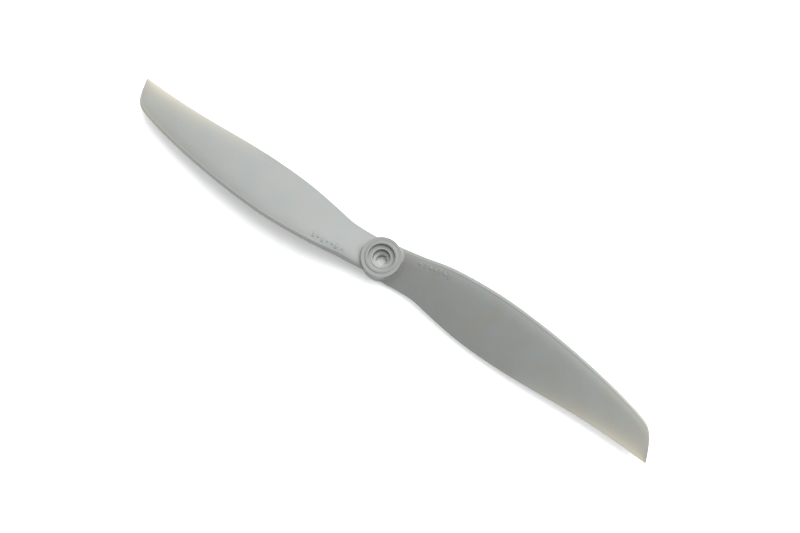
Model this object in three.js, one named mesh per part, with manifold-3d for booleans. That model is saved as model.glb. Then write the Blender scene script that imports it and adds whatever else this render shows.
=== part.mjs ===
// Two-blade slow-flyer propeller, moulded in one shot, with a loose adapter ring in its rear
// counterbore. Millimetres. +Z points along the shaft, towards the front of the propeller, and
// the rear face of the hub is at z = 0. Blade B points along +X and blade A along -X. Seen from
// the front the propeller turns counter-clockwise, so blade B has its leading edge on the +Y side.

import * as THREE from "three";
import { mergeVertices } from "three/addons/utils/BufferGeometryUtils.js";
import Module from "manifold-3d";

const wasm = await Module();
wasm.setup();

// ---- driving dimensions ----

const DIAMETER = 203.2;            // tip circle, 8 in
const TIP_Y = -9.6;                // the tip is the far end of the trailing edge
const TIP_X = Math.sqrt((DIAMETER / 2) ** 2 - TIP_Y ** 2);
const HUB_RADIUS = 6.35;           // boss, 1/2 in across
const HUB_HEIGHT = 7.0;
const RING_OUTER = 5.25;           // front ring, between the recess and a shallow groove
const RING_INNER = 4.3;
const GROOVE_DEPTH = 0.2;          // the boss's front slopes down to the ring by this much
const RECESS_DEPTH = 1.5;          // front recess, down to the web
const WEB_THICKNESS = 2.3;
const WEB_HOLE = 2.9;              // radius of the hole through the web
const LIP_OUTER = 3.4;             // low lip round that hole, on the web's front
const LIP_STAND = 0.15;
const COUNTERBORE = 4.0;           // radius of the rear counterbore, for adapter rings
const EDGE_BREAK = 0.25;           // chamfer on the moulding's round edges
const RIM_BREAK = 0.1;             // and on the boss's front rim

const ADAPTER_CLEARANCE = 0.05;    // radial
const ADAPTER_SHAFT = 1.7;         // radius of the adapter's own bore
const ADAPTER_INSET = 0.2;         // the adapter stops short of the rear face

const ROOT_X = 8.0;                // where blade and hub stub meet
const STUB_INNER_X = 3.0;          // the stub starts inside the boss's wall
const STUB_SWELL = 0.4;            // and is this much thicker there
const TRAILING_EDGE = 0.5;         // thickness of the moulded trailing edge
const CAMBER = 0.018;              // of the chord
const NOSE_SHARE = 0.28;           // part of the chord over which the section swells from its nose
const NOSE_SHARPNESS = 0.65;       // 0.5 makes that swell a quarter ellipse, more makes it keener

const ROUND_SEGMENTS = 64;
const SECTION_POINTS = 14;         // along each side of a blade section

// The blade's outline in plan, as [distance from the shaft, y], from root to tip.
const LEADING_EDGE = [
  [0, 6.0], [6, 6.2], [10, 7.0], [14, 7.7], [20, 8.65], [26, 9.2], [32, 9.5], [40, 9.6], [50, 9.0],
  [60, 8.0], [70, 6.6], [80, 4.8], [88, 3.0], [92, 1.9], [95, 0.8], [97, -0.7], [98.6, -3.0],
  [99.9, -5.9], [TIP_X, TIP_Y + 0.3],
];
const TRAILING_OUTLINE = [
  [0, -6.1], [6, -6.0], [10, -5.65], [14, -5.6], [17, -5.95], [20, -6.55], [26, -7.6], [32, -8.5],
  [40, -9.2], [50, -9.5], [60, -9.3], [70, -8.9], [80, -8.7], [90, -8.9], [TIP_X, TIP_Y],
];
// Blade angle in degrees, height of the pitch line and greatest section thickness.
const TWIST = [[0, 17], [8, 18.5], [14, 21.5], [20, 22.8], [26, 22.6], [40, 19.6], [60, 15.4],
  [80, 11.2], [TIP_X, 8.6]];
const PITCH_LINE = [[0, 3.2], [6, 3.3], [10, 3.9], [14, 4.6], [19, 5.2], [26, 5.5], [40, 5.7],
  [60, 6.0], [80, 5.8], [92, 5.5], [TIP_X, 5.2]];
const THICKNESS = [[0, 3.0], [7, 3.1], [11, 3.2], [16, 2.6], [22, 2.15], [30, 1.8], [45, 1.5],
  [60, 1.3], [75, 1.1], [90, 0.9], [TIP_X, 0.7]];

// Distances from the shaft at which the blade has a section.
const STATIONS = [ROOT_X, 10, 12, 14.5, 17.5, 21, 25, 29.5, 34.5, 40, 46, 52, 58, 64, 70, 75.5, 80.5,
  85, 89, 92, 94.2, 95.8, 97, 98, 98.9, 99.7, 100.4, 100.9, TIP_X];

const NYLON = { color: 0x696a67, roughness: 0.5, metalness: 0.0 };
const ADAPTER_NYLON = { color: 0xa2a3a0, roughness: 0.5, metalness: 0.0 };

// ---- shapes ----

// Smooth curve through [position, value] knots, read at one position.
function curveAt(knots, x) {
  const last = knots.length - 1;
  let i = 0;
  while (i < last - 1 && x > knots[i + 1][0]) i++;
  const slope = (k) => {
    const a = knots[Math.max(k - 1, 0)];
    const b = knots[Math.min(k + 1, last)];
    return (b[1] - a[1]) / (b[0] - a[0]);
  };
  const [x0, y0] = knots[i];
  const [x1, y1] = knots[i + 1];
  const h = x1 - x0;
  const u = (x - x0) / h;
  const v = 1 - u;
  return y0 * (1 + 2 * u) * v * v + slope(i) * h * u * v * v
    + y1 * (3 - 2 * u) * u * u - slope(i + 1) * h * u * u * v;
}

// Half thickness of the section at a chord fraction, for a greatest thickness of 1.
function halfThickness(s) {
  const fromSwell = 1 - Math.min(s / NOSE_SHARE, 1);
  return 0.5 * (1 - fromSwell * fromSwell) ** NOSE_SHARPNESS * (1 - s * s);
}

// One closed blade section as points in the plane at distance x from the shaft: along the front
// side from the leading to the trailing edge, then back along the rear side.
function bladeSection(x, swell = 0) {
  const yLead = curveAt(LEADING_EDGE, x) + swell * 0.5;
  const yTrail = curveAt(TRAILING_OUTLINE, x) - swell * 0.5;
  const twist = THREE.MathUtils.degToRad(curveAt(TWIST, x));
  const width = yLead - yTrail;
  const chord = width / Math.cos(twist);
  const thick = Math.min(curveAt(THICKNESS, x) + swell, 0.35 + 0.2 * chord);
  const edge = Math.min(TRAILING_EDGE, thick) / 2;
  const camber = CAMBER * chord;
  const axisHeight = curveAt(PITCH_LINE, x);
  const place = (s, offset) => {
    const y = yLead - s * width;
    return new THREE.Vector3(x, y - offset * Math.sin(twist),
      axisHeight + y * Math.tan(twist) + offset * Math.cos(twist));
  };
  const points = [];
  for (let i = 0; i <= SECTION_POINTS; i++) {
    const s = (1 - Math.cos(Math.PI * i / SECTION_POINTS)) / 2;
    points.push(place(s, 4 * camber * s * (1 - s) + thick * halfThickness(s) + edge * s));
  }
  for (let i = SECTION_POINTS; i > 0; i--) {
    const s = (1 - Math.cos(Math.PI * i / SECTION_POINTS)) / 2;
    points.push(place(s, 4 * camber * s * (1 - s) - thick * halfThickness(s) - edge * s));
  }
  return points;
}

// A closed body through rings of points, each ring with the same number of points.
function loft(rings) {
  const count = rings[0].length;
  const middle = (ring) => ring.reduce((sum, p) => sum.add(p), new THREE.Vector3()).divideScalar(count);
  const points = [...rings.flat(), middle(rings[0]), middle(rings.at(-1))];
  const start = points.length - 2;
  const index = [];
  for (let i = 0; i < count; i++) {
    const j = (i + 1) % count;
    for (let k = 0; k < rings.length - 1; k++) {
      const a = k * count;
      const b = a + count;
      index.push(a + i, a + j, b + i, a + j, b + j, b + i);
    }
    const end = (rings.length - 1) * count;
    index.push(start, j, i, start + 1, end + i, end + j);
  }
  const geometry = new THREE.BufferGeometry().setFromPoints(points);
  geometry.setIndex(index);
  return geometry;
}

function blade() {
  return loft(STATIONS.map((x) => bladeSection(x)));
}

// The blade's root inside the hub, swelling into the boss as a moulded fillet does.
function rootStub() {
  const rings = [];
  const steps = 5;
  for (let i = 0; i <= steps; i++) {
    const u = i / steps;
    const x = STUB_INNER_X + (ROOT_X - STUB_INNER_X) * u;
    rings.push(bladeSection(x, STUB_SWELL * (1 - u) ** 2));
  }
  return loft(rings);
}

// A body of revolution about Z from a closed profile of [radius, height] points.
function turned(profile) {
  const closed = [...profile, profile[0]].map(([r, z]) => new THREE.Vector2(r, z));
  return new THREE.LatheGeometry(closed, ROUND_SEGMENTS).rotateX(Math.PI / 2);
}

function solidOf(geometry) {
  const bare = geometry.clone();
  bare.deleteAttribute("normal");
  bare.deleteAttribute("uv");
  const merged = mergeVertices(bare, 1e-5);
  return new wasm.Manifold(new wasm.Mesh({
    numProp: 3,
    vertProperties: new Float32Array(merged.attributes.position.array),
    triVerts: new Uint32Array(merged.index.array),
  }));
}

function geometryOf(solid) {
  const mesh = solid.getMesh();
  const geometry = new THREE.BufferGeometry();
  geometry.setAttribute("position", new THREE.BufferAttribute(mesh.vertProperties, 3));
  geometry.setIndex(new THREE.BufferAttribute(mesh.triVerts, 1));
  return geometry;
}

// The boss and both root stubs, then everything that is open in them: the front recess, the
// hole through the web and the rear counterbore.
function hub() {
  const boss = solidOf(turned([
    [0, 0],
    [HUB_RADIUS - EDGE_BREAK, 0],
    [HUB_RADIUS, EDGE_BREAK],
    [HUB_RADIUS, HUB_HEIGHT - RIM_BREAK],
    [HUB_RADIUS - RIM_BREAK, HUB_HEIGHT],
    [RING_OUTER, HUB_HEIGHT - GROOVE_DEPTH],
    [RING_OUTER, HUB_HEIGHT],
    [0, HUB_HEIGHT],
  ]));
  const stub = rootStub();
  const stubs = solidOf(stub).add(solidOf(stub.clone().rotateZ(Math.PI)));
  const webTop = HUB_HEIGHT - RECESS_DEPTH;
  const webBottom = webTop - WEB_THICKNESS;
  const beyond = 3;
  const openings = solidOf(turned([
    [0, -beyond],
    [COUNTERBORE + EDGE_BREAK, -beyond],
    [COUNTERBORE + EDGE_BREAK, 0],
    [COUNTERBORE, EDGE_BREAK],
    [COUNTERBORE, webBottom],
    [WEB_HOLE, webBottom],
    [WEB_HOLE, webTop + LIP_STAND],
    [LIP_OUTER, webTop + LIP_STAND],
    [LIP_OUTER, webTop],
    [RING_INNER, webTop],
    [RING_INNER, HUB_HEIGHT - EDGE_BREAK / 2],
    [RING_INNER + EDGE_BREAK / 2, HUB_HEIGHT],
    [RING_INNER + EDGE_BREAK / 2, HUB_HEIGHT + beyond],
    [0, HUB_HEIGHT + beyond],
  ]));
  return geometryOf(boss.add(stubs).subtract(openings));
}

function adapterRing() {
  const outer = COUNTERBORE - ADAPTER_CLEARANCE;
  const top = HUB_HEIGHT - RECESS_DEPTH - WEB_THICKNESS;
  const profile = [
    [ADAPTER_SHAFT, ADAPTER_INSET],
    [outer - EDGE_BREAK, ADAPTER_INSET],
    [outer, ADAPTER_INSET + EDGE_BREAK],
    [outer, top],
    [ADAPTER_SHAFT, top],
  ];
  return geometryOf(solidOf(turned(profile)));
}

// ---- the propeller ----

function part(name, geometry, look) {
  const mesh = new THREE.Mesh(geometry, new THREE.MeshStandardMaterial(look));
  mesh.name = name;
  return mesh;
}

const propeller = new THREE.Group();
propeller.add(part("hub", hub(), NYLON));
propeller.add(part("blade_b", blade(), NYLON));
const bladeA = part("blade_a", blade(), NYLON);
bladeA.rotation.z = Math.PI;
propeller.add(bladeA);
propeller.add(part("adapter_ring", adapterRing(), ADAPTER_NYLON));

export default propeller;
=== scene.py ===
# Two-blade slow-flyer propeller in moulded nylon, lying on its back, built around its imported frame.
# Metres. +Z points along the shaft, towards the front of the propeller, and blade B points along +X.

import math
import bmesh
import bpy
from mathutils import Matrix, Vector


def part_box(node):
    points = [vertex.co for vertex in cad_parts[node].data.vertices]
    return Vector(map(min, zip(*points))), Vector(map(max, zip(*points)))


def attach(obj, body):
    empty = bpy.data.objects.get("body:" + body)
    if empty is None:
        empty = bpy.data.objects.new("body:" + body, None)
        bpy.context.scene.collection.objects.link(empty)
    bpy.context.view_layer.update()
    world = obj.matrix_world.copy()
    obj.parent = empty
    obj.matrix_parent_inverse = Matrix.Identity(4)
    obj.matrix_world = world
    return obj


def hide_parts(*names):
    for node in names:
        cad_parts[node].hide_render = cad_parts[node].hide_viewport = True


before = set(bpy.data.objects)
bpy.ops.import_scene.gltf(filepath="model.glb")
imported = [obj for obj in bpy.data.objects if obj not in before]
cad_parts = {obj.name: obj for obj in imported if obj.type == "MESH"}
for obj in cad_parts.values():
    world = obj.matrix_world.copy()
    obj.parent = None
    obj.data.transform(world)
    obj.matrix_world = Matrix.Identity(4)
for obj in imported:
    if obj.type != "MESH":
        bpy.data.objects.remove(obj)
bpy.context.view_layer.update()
MM = 0.001


# ---- camera ----
# A close view from above, almost straight down the shaft, with blade B towards the lower right.

CAMERA_ELEVATION = math.radians(77.0)
CAMERA_TURN = math.radians(33.0)
CAMERA_PLACE = Vector((35.16, -43.31, 233.75)) * MM

camera = bpy.data.objects.new("camera", bpy.data.cameras.new("camera"))
bpy.context.scene.collection.objects.link(camera)
camera.data.sensor_width = 36.0
camera.data.lens = 33.3
camera.location = CAMERA_PLACE
camera.rotation_euler = (math.pi / 2 - CAMERA_ELEVATION, 0.0, CAMERA_TURN)
bpy.context.scene.camera = camera


# ---- the hub ----
# The boss in the middle of the moulding: a rim and a ring round the front recess, a web with the
# shaft hole in a low lip, and behind it the counterbore that takes adapter rings. Its edges are
# slightly rounded, as they come out of the mould.

_, hub_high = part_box("hub")
HUB_TOP = hub_high.z
HUB_RADIUS = hub_high.y
RING_OUTER, RING_INNER = 5.25 * MM, 4.3 * MM
GROOVE_DEPTH = 0.2 * MM
RECESS_FLOOR = HUB_TOP - 1.5 * MM
WEB_BOTTOM = RECESS_FLOOR - 2.3 * MM
WEB_HOLE = 2.9 * MM
COUNTERBORE = 4.0 * MM
LIP_OUTER, LIP_STAND = 3.4 * MM, 0.15 * MM
HUB_SPIN_STEPS = 144
HUB_ROUNDING = 0.07 * MM
WALL_SLOPE = 0.1 * MM
RECESS_DRAFT = 0.05 * MM
MOUTH_CHAMFER = 0.25 * MM
DOUBLES_WITHIN = 0.002 * MM
SHARP_FROM, SMOOTH_UNDER = math.radians(30), math.radians(35)


def deselect_all():
    if bpy.context.object and bpy.context.object.mode != "OBJECT":
        bpy.ops.object.mode_set(mode="OBJECT")
    bpy.ops.object.select_all(action="DESELECT")


def edit(piece):
    """Opens one piece in edit mode with nothing in it selected, and gives its mesh."""
    deselect_all()
    piece.select_set(True)
    bpy.context.view_layer.objects.active = piece
    bpy.ops.object.mode_set(mode="EDIT")
    bpy.ops.mesh.select_all(action="DESELECT")
    return bmesh.from_edit_mesh(piece.data)


def turned(name, profile, steps):
    """Draws a closed profile of (radius, height) corners and spins it round the shaft axis."""
    deselect_all()
    bpy.ops.mesh.primitive_circle_add(vertices=len(profile), radius=MM)
    piece = bpy.context.object
    piece.name = piece.data.name = name
    mesh = edit(piece)
    mesh.verts.ensure_lookup_table()
    for vert, (radius, height) in zip(mesh.verts, profile):
        vert.co = (radius, 0.0, height)
    bmesh.update_edit_mesh(piece.data)
    bpy.ops.mesh.select_all(action="SELECT")
    bpy.ops.mesh.spin(steps=steps, angle=math.tau, center=(0, 0, 0), axis=(0, 0, 1))
    bpy.ops.mesh.select_all(action="SELECT")
    bpy.ops.mesh.remove_doubles(threshold=DOUBLES_WITHIN)
    bpy.ops.mesh.normals_make_consistent(inside=False)
    return piece


def rounded_edges(width, segments):
    """Rounds every sharp edge of the piece that is open in edit mode, and smooths the shading."""
    bpy.ops.mesh.select_mode(type="EDGE")
    bpy.ops.mesh.select_all(action="DESELECT")
    bpy.ops.mesh.edges_select_sharp(sharpness=SHARP_FROM)
    bpy.ops.mesh.bevel(offset=width, offset_type="OFFSET", segments=segments, affect="EDGES")
    bpy.ops.object.mode_set(mode="OBJECT")
    bpy.ops.object.shade_smooth_by_angle(angle=SMOOTH_UNDER)


hub = turned("hub_boss", [
    (HUB_RADIUS, 0.0),
    (HUB_RADIUS, HUB_TOP),
    (RING_OUTER + WALL_SLOPE, HUB_TOP - GROOVE_DEPTH),
    (RING_OUTER - WALL_SLOPE, HUB_TOP),
    (RING_INNER + RECESS_DRAFT, HUB_TOP),
    (RING_INNER, RECESS_FLOOR),
    (LIP_OUTER, RECESS_FLOOR),
    (LIP_OUTER - WALL_SLOPE, RECESS_FLOOR + LIP_STAND),
    (WEB_HOLE + WALL_SLOPE, RECESS_FLOOR + LIP_STAND),
    (WEB_HOLE, RECESS_FLOOR + LIP_STAND - WALL_SLOPE),
    (WEB_HOLE, WEB_BOTTOM),
    (COUNTERBORE, WEB_BOTTOM),
    (COUNTERBORE, MOUTH_CHAMFER),
    (COUNTERBORE + MOUTH_CHAMFER, 0.0),
], HUB_SPIN_STEPS)
rounded_edges(HUB_ROUNDING, 3)

# The web and the floor of the recess are painted paler than the rest of the boss: painted light,
# brightening the shaded recess.
WEB_PAINTED_LIGHT = 0.65
painted_recess_light = hub.data.attributes.new("painted_recess_light", "FLOAT", "POINT")
for vert, value in zip(hub.data.vertices, painted_recess_light.data):
    radius = math.hypot(vert.co.x, vert.co.y)
    in_painted_recess = radius < RING_INNER - WALL_SLOPE and vert.co.z > HUB_TOP / 2
    value.value = WEB_PAINTED_LIGHT if in_painted_recess else 0.0
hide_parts("hub")
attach(hub, "propeller")


# ---- the blades ----
# Both blades are the same thin twisted airfoil, cut off at a slant at the tip, and grow out of
# the boss with a small fillet. The mould parts along the nose, where it leaves a fine flash line.

TIP_Y = -9.6
TIP_X = math.sqrt(101.6 ** 2 - TIP_Y ** 2)
LEADING_EDGE = [
    (0, 6.0), (6, 6.2), (10, 7.0), (14, 7.7), (20, 8.65), (26, 9.2), (32, 9.5), (40, 9.6), (50, 9.0),
    (60, 8.0), (70, 6.6), (80, 4.8), (88, 3.0), (92, 1.9), (95, 0.8), (97, -0.7), (98.6, -3.0),
    (99.9, -5.9), (TIP_X, TIP_Y + 0.3),
]
TRAILING_EDGE = [
    (0, -6.1), (6, -6.0), (10, -5.65), (14, -5.6), (17, -5.95), (20, -6.55), (26, -7.6), (32, -8.5),
    (40, -9.2), (50, -9.5), (60, -9.3), (70, -8.9), (80, -8.7), (90, -8.9), (TIP_X, TIP_Y),
]
TWIST = [
    (0, 17), (8, 18.5), (14, 21.5), (20, 22.8), (26, 22.6), (40, 19.6), (60, 15.4), (80, 11.2),
    (TIP_X, 8.6),
]
PITCH_LINE = [
    (0, 3.2), (6, 3.3), (10, 3.9), (14, 4.6), (19, 5.2), (26, 5.5), (40, 5.7), (60, 6.0), (80, 5.8),
    (92, 5.5), (TIP_X, 5.2),
]
THICKNESS = [
    (0, 3.0), (7, 3.1), (11, 3.2), (16, 2.6), (22, 2.15), (30, 1.8), (45, 1.5), (60, 1.3),
    (75, 1.1), (90, 0.9), (TIP_X, 0.7),
]
EDGE_THICKNESS = 0.42
CAMBER = 0.018
NOSE_SHARE, NOSE_SHARPNESS = 0.28, 0.65
NOSE_WIDTH, NOSE_HALF = 0.3, 0.1
FLASH_HEIGHT, FLASH_WIDTH, FLASH_PLACE = 0.09, 0.22, 0.75
FLASH_FROM, FLASH_RISE, FLASH_END = 7.0, 4.0, 3.0
TIP_ROUNDING = 0.4
LEAST_THICKNESS, THICKNESS_PER_CHORD = 0.35, 0.2
MOST_NOSE, MOST_TAIL = 0.45, 0.4
BODY_FROM = 0.3
BOSS_RADIUS = HUB_RADIUS / MM
ROOT_INSIDE = 5.9
FILLET = 0.75
FILLET_BELOW_TOP, FILLET_ABOVE_REAR, FILLET_LEAST = 0.65, 0.4, 0.05
STRAIGHT_FROM = 14.0
# Painted glow of thin plastic: where along the span it starts and where it is full, and how it fades with
# thickness.
PAINTED_GLOW_FROM, PAINTED_GLOW_FULL = 50.0, 101.0
THINNEST, THIN_FADE = 0.3, 0.31
END_CROWDING, NOSE_CROWDING = 0.75, 1.25
SIDE_STEPS = 72
SPAN_STEPS = 170


def curve_at(knots, x):
    """Smooth curve through (position, value) knots, read at one position."""
    last = len(knots) - 1
    i = 0
    while i < last - 1 and x > knots[i + 1][0]:
        i += 1

    def slope(k):
        a, b = knots[max(k - 1, 0)], knots[min(k + 1, last)]
        return (b[1] - a[1]) / (b[0] - a[0])

    (x0, y0), (x1, y1) = knots[i], knots[i + 1]
    h = x1 - x0
    u = (x - x0) / h
    v = 1 - u
    return (y0 * (1 + 2 * u) * v * v + slope(i) * h * u * v * v
            + y1 * (3 - 2 * u) * u * u - slope(i + 1) * h * u * u * v)


def span_at(u):
    """Distance from the shaft of the section at 0 to 1 along the blade: closest at root and tip."""
    ease = 0.5 - 0.5 * math.cos(math.pi * u)
    return ROOT_INSIDE + (TIP_X - ROOT_INSIDE) * ((1 - END_CROWDING) * u + END_CROWDING * ease)


def round_off(distance, reach):
    """1 away from an end, falling to 0 at it as a quarter circle does."""
    return 1.0 if distance >= reach else math.sqrt(max(1 - (1 - distance / reach) ** 2, 0.0))


def airfoil(s):
    """Half thickness of the section at a chord fraction, for a greatest thickness of 1."""
    return 0.5 * round_off(s, NOSE_SHARE) ** (2 * NOSE_SHARPNESS) * (1 - s * s)


def blade_point(x, v):
    """A point on blade B, and how thick the plastic is there. v runs from 0 at the trailing edge
    over the front side to 0.5 at the nose, and back along the rear side to 1."""
    side = 1 if v <= 0.5 else -1
    s = (1 - math.cos(math.pi * abs(1 - 2 * v) ** NOSE_CROWDING)) / 2
    shrink = min(x / BOSS_RADIUS, 1.0)
    lead, trail = curve_at(LEADING_EDGE, x) * shrink, curve_at(TRAILING_EDGE, x) * shrink
    twist = math.radians(curve_at(TWIST, x))
    chord = (lead - trail) / math.cos(twist)
    thick = min(curve_at(THICKNESS, x), LEAST_THICKNESS + THICKNESS_PER_CHORD * chord)
    edge = min(EDGE_THICKNESS, thick) / 2
    nose = min(NOSE_WIDTH / chord, MOST_NOSE)
    half = thick * airfoil(s) + edge * s * s + NOSE_HALF * round_off(s, nose) * (1 - s) ** 3
    half *= round_off((1 - s) * chord, min(edge, MOST_TAIL * chord)) * round_off(TIP_X - x, TIP_ROUNDING)
    body = thick * (airfoil(s) + airfoil(max(s, BODY_FROM))) + edge * s
    flash = (s * chord - FLASH_PLACE) / FLASH_WIDTH
    if side > 0:
        fade = min(1.0, max(x - FLASH_FROM, 0) / FLASH_RISE) * round_off(TIP_X - x, FLASH_END)
        half += FLASH_HEIGHT * math.exp(-flash * flash) * fade
    if x <= ROOT_INSIDE:
        half = 0.0
    offset = 4 * CAMBER * chord * s * (1 - s) + side * half
    y = lead - s * (lead - trail)
    z = curve_at(PITCH_LINE, x) + y * math.tan(twist) + offset * math.cos(twist)
    out = max(x - BOSS_RADIUS, 0.0)
    if out < FILLET and half > 0:
        rise = FILLET * (1 - math.sqrt(1 - (1 - out / FILLET) ** 2))
        room = (HUB_TOP / MM - FILLET_BELOW_TOP - z) if side > 0 else (z - FILLET_ABOVE_REAR)
        z += side * min(rise, max(room, FILLET_LEAST)) * min(1.0, 3 * half / thick)
    y -= offset * math.sin(twist)
    wrap = 1 - min(max((x - BOSS_RADIUS) / (STRAIGHT_FROM - BOSS_RADIUS), 0.0), 1.0)
    wrap = wrap * wrap * (3 - 2 * wrap)
    along = math.sqrt(max(x * x - wrap * y * y, 1.0))
    return Vector((along, y, z)) * MM, body


deselect_all()
bpy.ops.mesh.primitive_grid_add(x_subdivisions=SPAN_STEPS, y_subdivisions=2 * SIDE_STEPS, size=1.0)
blade_b = bpy.context.object
blade_b.name = blade_b.data.name = "blade_b_skin"
# Painted light: a weight per point, highest where the plastic is thinnest towards the tip, that mixes a
# warm pale colour into the blades for light shining through them.
painted_glow_values = blade_b.data.attributes.new("thin_edge_painted_glow", "FLOAT", "POINT")
for vert, value in zip(blade_b.data.vertices, painted_glow_values.data):
    u = min(max(vert.co.x + 0.5, 0.0), 1.0)
    v = min(max(vert.co.y + 0.5, 0.0), 1.0)
    vert.co, body = blade_point(span_at(u), v)
    outboard = min(max((span_at(u) - PAINTED_GLOW_FROM) / (PAINTED_GLOW_FULL - PAINTED_GLOW_FROM), 0.0), 1.0)
    value.value = math.exp(-max(body - THINNEST, 0.0) / THIN_FADE) * outboard
edit(blade_b)
bpy.ops.mesh.select_all(action="SELECT")
bpy.ops.mesh.remove_doubles(threshold=2 * DOUBLES_WITHIN)
bpy.ops.mesh.normals_make_consistent(inside=False)
bpy.ops.object.mode_set(mode="OBJECT")


# Small raised mould marks on the front of each blade, close to the root: a plain row of round
# pips and short bars.

MARKS = [(11.8, 1.0), (13.6, 2.4), (15.2, 1.0), (16.7, 1.0), (18.3, 2.4), (19.9, 1.0), (21.5, 2.4)]
MARK_PLACE = 0.325
PIP_RADIUS, PIP_HEIGHT = 0.46, 0.2
STEP_ALONG, STEP_ACROSS = 0.5, 0.02
BLADE_SMOOTH_UNDER = math.radians(60)

pips = []
for along, stretch in MARKS:
    place, _ = blade_point(along, MARK_PLACE)
    before, _ = blade_point(along - STEP_ALONG, MARK_PLACE)
    aside, _ = blade_point(along, MARK_PLACE - STEP_ACROSS)
    normal = (place - before).cross(place - aside).normalized()
    if normal.z < 0:
        normal = -normal
    deselect_all()
    bpy.ops.mesh.primitive_uv_sphere_add(segments=20, ring_count=12, radius=PIP_RADIUS * MM)
    pip = bpy.context.object
    pip.scale = (1.0, stretch, PIP_HEIGHT / PIP_RADIUS)
    pip.rotation_mode = "QUATERNION"
    pip.rotation_quaternion = Vector((0, 0, 1)).rotation_difference(normal)
    pip.location = place
    bpy.ops.object.transform_apply()
    pips.append(pip)

deselect_all()
for pip in pips:
    pip.select_set(True)
blade_b.select_set(True)
bpy.context.view_layer.objects.active = blade_b
bpy.ops.object.join()
bpy.ops.object.shade_smooth_by_angle(angle=BLADE_SMOOTH_UNDER)

deselect_all()
blade_b.select_set(True)
bpy.context.view_layer.objects.active = blade_b
bpy.ops.object.duplicate()
blade_a = bpy.context.object
blade_a.name = blade_a.data.name = "blade_a_skin"
bpy.ops.transform.rotate(
    value=math.pi, orient_axis="Z", orient_type="GLOBAL", center_override=(0, 0, 0))
bpy.ops.object.transform_apply()

for blade, node in ((blade_a, "blade_a"), (blade_b, "blade_b")):
    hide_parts(node)
    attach(blade, "propeller")


# ---- the adapter ring ----
# A loose bush of unfilled nylon, pushed into the counterbore from behind. It makes the hub fit a
# thin motor shaft. Its edges are broken, and its bore has a small lead-in at both ends.

ring_low, ring_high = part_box("adapter_ring")
ADAPTER_RADIUS = ring_high.y
ADAPTER_BORE = 1.7 * MM
ADAPTER_BREAK = 0.25 * MM
REAR_LEAD_IN, FRONT_LEAD_IN = 0.12 * MM, 0.4 * MM
ADAPTER_SPIN_STEPS, ADAPTER_ROUNDING = 96, 0.05 * MM
ring = turned("adapter_bush", [
    (ADAPTER_BORE + REAR_LEAD_IN, ring_low.z),
    (ADAPTER_RADIUS - ADAPTER_BREAK, ring_low.z),
    (ADAPTER_RADIUS, ring_low.z + ADAPTER_BREAK),
    (ADAPTER_RADIUS, ring_high.z),
    (ADAPTER_BORE + ADAPTER_BREAK, ring_high.z),
    (ADAPTER_BORE, ring_high.z - FRONT_LEAD_IN),
    (ADAPTER_BORE, ring_low.z + REAR_LEAD_IN),
], ADAPTER_SPIN_STEPS)
rounded_edges(ADAPTER_ROUNDING, 2)
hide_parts("adapter_ring")
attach(ring, "adapter")


# ---- the nylon ----
# Grey nylon, as moulded: a soft sheen, faint cloudy colour where the melt flowed, and a
# very fine grain from the mould. Painted light: a warmer, lighter tone where the plastic is thin, for
# light shining through it, and a paler web and recess floor on the hub.


def node(tree, kind, **inputs):
    made = tree.nodes.new(kind)
    for name, value in inputs.items():
        made.inputs[name.replace("_", " ")].default_value = value
    return made


WARM_CLOUD, COOL_CLOUD = (1.0, 0.965, 0.93), (0.97, 1.03, 1.05)
SHEEN_BELOW, SHEEN_ABOVE = 0.05, 0.07
MIX_FACTOR, MIX_A, MIX_B, MIX_RESULT = 0, 6, 7, 2


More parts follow.
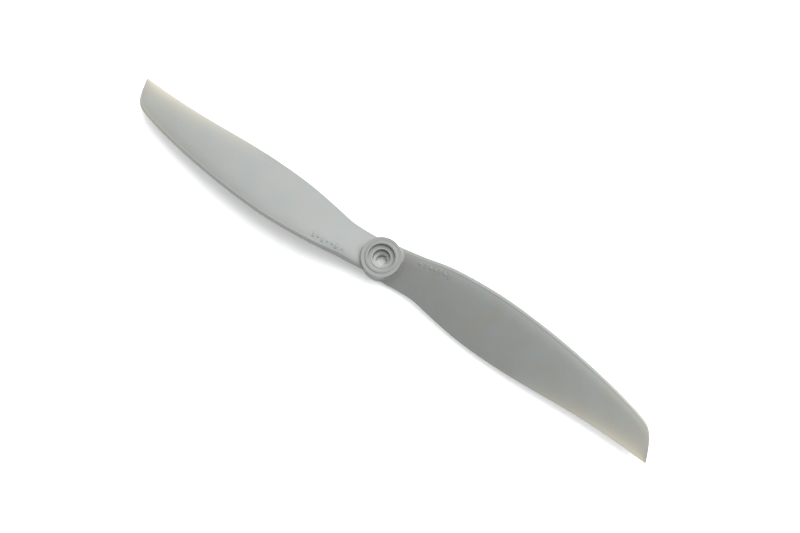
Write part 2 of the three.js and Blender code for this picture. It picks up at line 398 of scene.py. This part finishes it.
def nylon(name, body_colour, painted_glow_colour, roughness, milkiness):
    material = bpy.data.materials.new(name)
    material.use_nodes = True
    tree = material.node_tree
    shader = tree.nodes["Principled BSDF"]
    link = tree.links.new
    place = node(tree, "ShaderNodeTexCoord").outputs["Object"]

    clouds = node(tree, "ShaderNodeTexNoise", Scale=150.0, Detail=3.0, Roughness=0.55)
    link(place, clouds.inputs["Vector"])
    cloud_colour = node(tree, "ShaderNodeMapRange", From_Min=0.3, From_Max=0.7, To_Min=0.0, To_Max=1.0)
    link(clouds.outputs["Fac"], cloud_colour.inputs["Value"])
    tone = node(tree, "ShaderNodeMix")
    tone.data_type = "RGBA"
    tone.inputs[MIX_A].default_value = [c * f for c, f in zip(body_colour, WARM_CLOUD)] + [1.0]
    tone.inputs[MIX_B].default_value = [c * f for c, f in zip(body_colour, COOL_CLOUD)] + [1.0]
    link(cloud_colour.outputs["Result"], tone.inputs[MIX_FACTOR])

    grain = node(tree, "ShaderNodeTexNoise", Scale=2400.0, Detail=4.0, Roughness=0.6)
    link(place, grain.inputs["Vector"])
    speckle = node(tree, "ShaderNodeMapRange", From_Min=0.3, From_Max=0.7, To_Min=0.96, To_Max=1.04)
    link(grain.outputs["Fac"], speckle.inputs["Value"])
    # Painted light: the hub's web and recess floor carry an attribute that raises the colour there, making
    # them paler.
    painted_recess_light = node(tree, "ShaderNodeAttribute")
    painted_recess_light.attribute_name = "painted_recess_light"
    speckle_and_painted_light = node(tree, "ShaderNodeMath")
    speckle_and_painted_light.operation = "MULTIPLY_ADD"
    link(painted_recess_light.outputs["Fac"], speckle_and_painted_light.inputs[0])
    link(speckle.outputs["Result"], speckle_and_painted_light.inputs[1])
    link(speckle.outputs["Result"], speckle_and_painted_light.inputs[2])
    grain_and_painted_light = node(tree, "ShaderNodeVectorMath")
    grain_and_painted_light.operation = "SCALE"
    link(tone.outputs[MIX_RESULT], grain_and_painted_light.inputs[0])
    link(speckle_and_painted_light.outputs["Value"], grain_and_painted_light.inputs["Scale"])

    # Painted light: where the plastic is thin the colour is mixed towards a warm pale tone, for light
    # shining through it.
    thin_edge_painted_glow = node(tree, "ShaderNodeAttribute")
    thin_edge_painted_glow.attribute_name = "thin_edge_painted_glow"
    painted_glow_mix = node(tree, "ShaderNodeMix")
    painted_glow_mix.data_type = "RGBA"
    painted_glow_mix.inputs[MIX_B].default_value = [*painted_glow_colour, 1.0]
    link(thin_edge_painted_glow.outputs["Fac"], painted_glow_mix.inputs[MIX_FACTOR])
    link(grain_and_painted_light.outputs["Vector"], painted_glow_mix.inputs[MIX_A])
    link(painted_glow_mix.outputs[MIX_RESULT], shader.inputs["Base Color"])

    sheen = node(tree, "ShaderNodeMapRange", From_Min=0.3, From_Max=0.7,
                 To_Min=roughness - SHEEN_BELOW, To_Max=roughness + SHEEN_ABOVE)
    link(clouds.outputs["Fac"], sheen.inputs["Value"])
    link(sheen.outputs["Result"], shader.inputs["Roughness"])

    bump = node(tree, "ShaderNodeBump", Strength=0.25, Distance=0.01 * MM)
    link(grain.outputs["Fac"], bump.inputs["Height"])
    link(bump.outputs["Normal"], shader.inputs["Normal"])

    shader.inputs["Subsurface Weight"].default_value = milkiness
    shader.inputs["Subsurface Radius"].default_value = (1.0, 0.9, 0.7)
    shader.inputs["Subsurface Scale"].default_value = 0.5 * MM
    shader.inputs["IOR"].default_value = 1.53
    return material


# Its second colour is painted light: the warm pale tone of light shining through the thin blades.
propeller_nylon = nylon("propeller_nylon", (0.139, 0.142, 0.133), (0.32, 0.294, 0.231), 0.42, 0.2)
ADAPTER_COLOUR = (0.36, 0.365, 0.35)
adapter_nylon = nylon("adapter_nylon", ADAPTER_COLOUR, ADAPTER_COLOUR, 0.45, 1.0)
for piece, material in (
    (hub, propeller_nylon), (blade_a, propeller_nylon), (blade_b, propeller_nylon), (ring, adapter_nylon),
):
    piece.data.materials.clear()
    piece.data.materials.append(material)


# ---- floor and light ----
# A plain, nearly white floor. One broad soft light high on the blade's leading side, and an even
# white surround.

deselect_all()
bpy.ops.mesh.primitive_plane_add(size=3.0, location=(0, 0, -0.02 * MM))
floor = bpy.context.object
floor.name = "floor"
floor_paint = bpy.data.materials.new("floor_paint")
floor_paint.use_nodes = True
floor_paint.node_tree.nodes["Principled BSDF"].inputs["Base Color"].default_value = (0.86, 0.86, 0.86, 1.0)
floor_paint.node_tree.nodes["Principled BSDF"].inputs["Roughness"].default_value = 0.7
floor.data.materials.append(floor_paint)

LIGHT_FROM = Vector((0.176, 0.83, 0.85))
light = bpy.data.objects.new("soft_light", bpy.data.lights.new("soft_light", "AREA"))
bpy.context.scene.collection.objects.link(light)
light.data.shape = "DISK"
light.data.size = 2.0
light.data.energy = 39.0
light.data.color = (0.965, 1.0, 1.03)
light.location = LIGHT_FROM
light.rotation_euler = (-LIGHT_FROM).to_track_quat("-Z", "Y").to_euler()

surround = bpy.data.worlds.new("surround")
surround.use_nodes = True
surround.node_tree.nodes["Background"].inputs["Color"].default_value = (1.0, 1.0, 1.0, 1.0)
surround.node_tree.nodes["Background"].inputs["Strength"].default_value = 1.1
bpy.context.scene.world = surround
bpy.context.scene.view_settings.view_transform = "Standard"
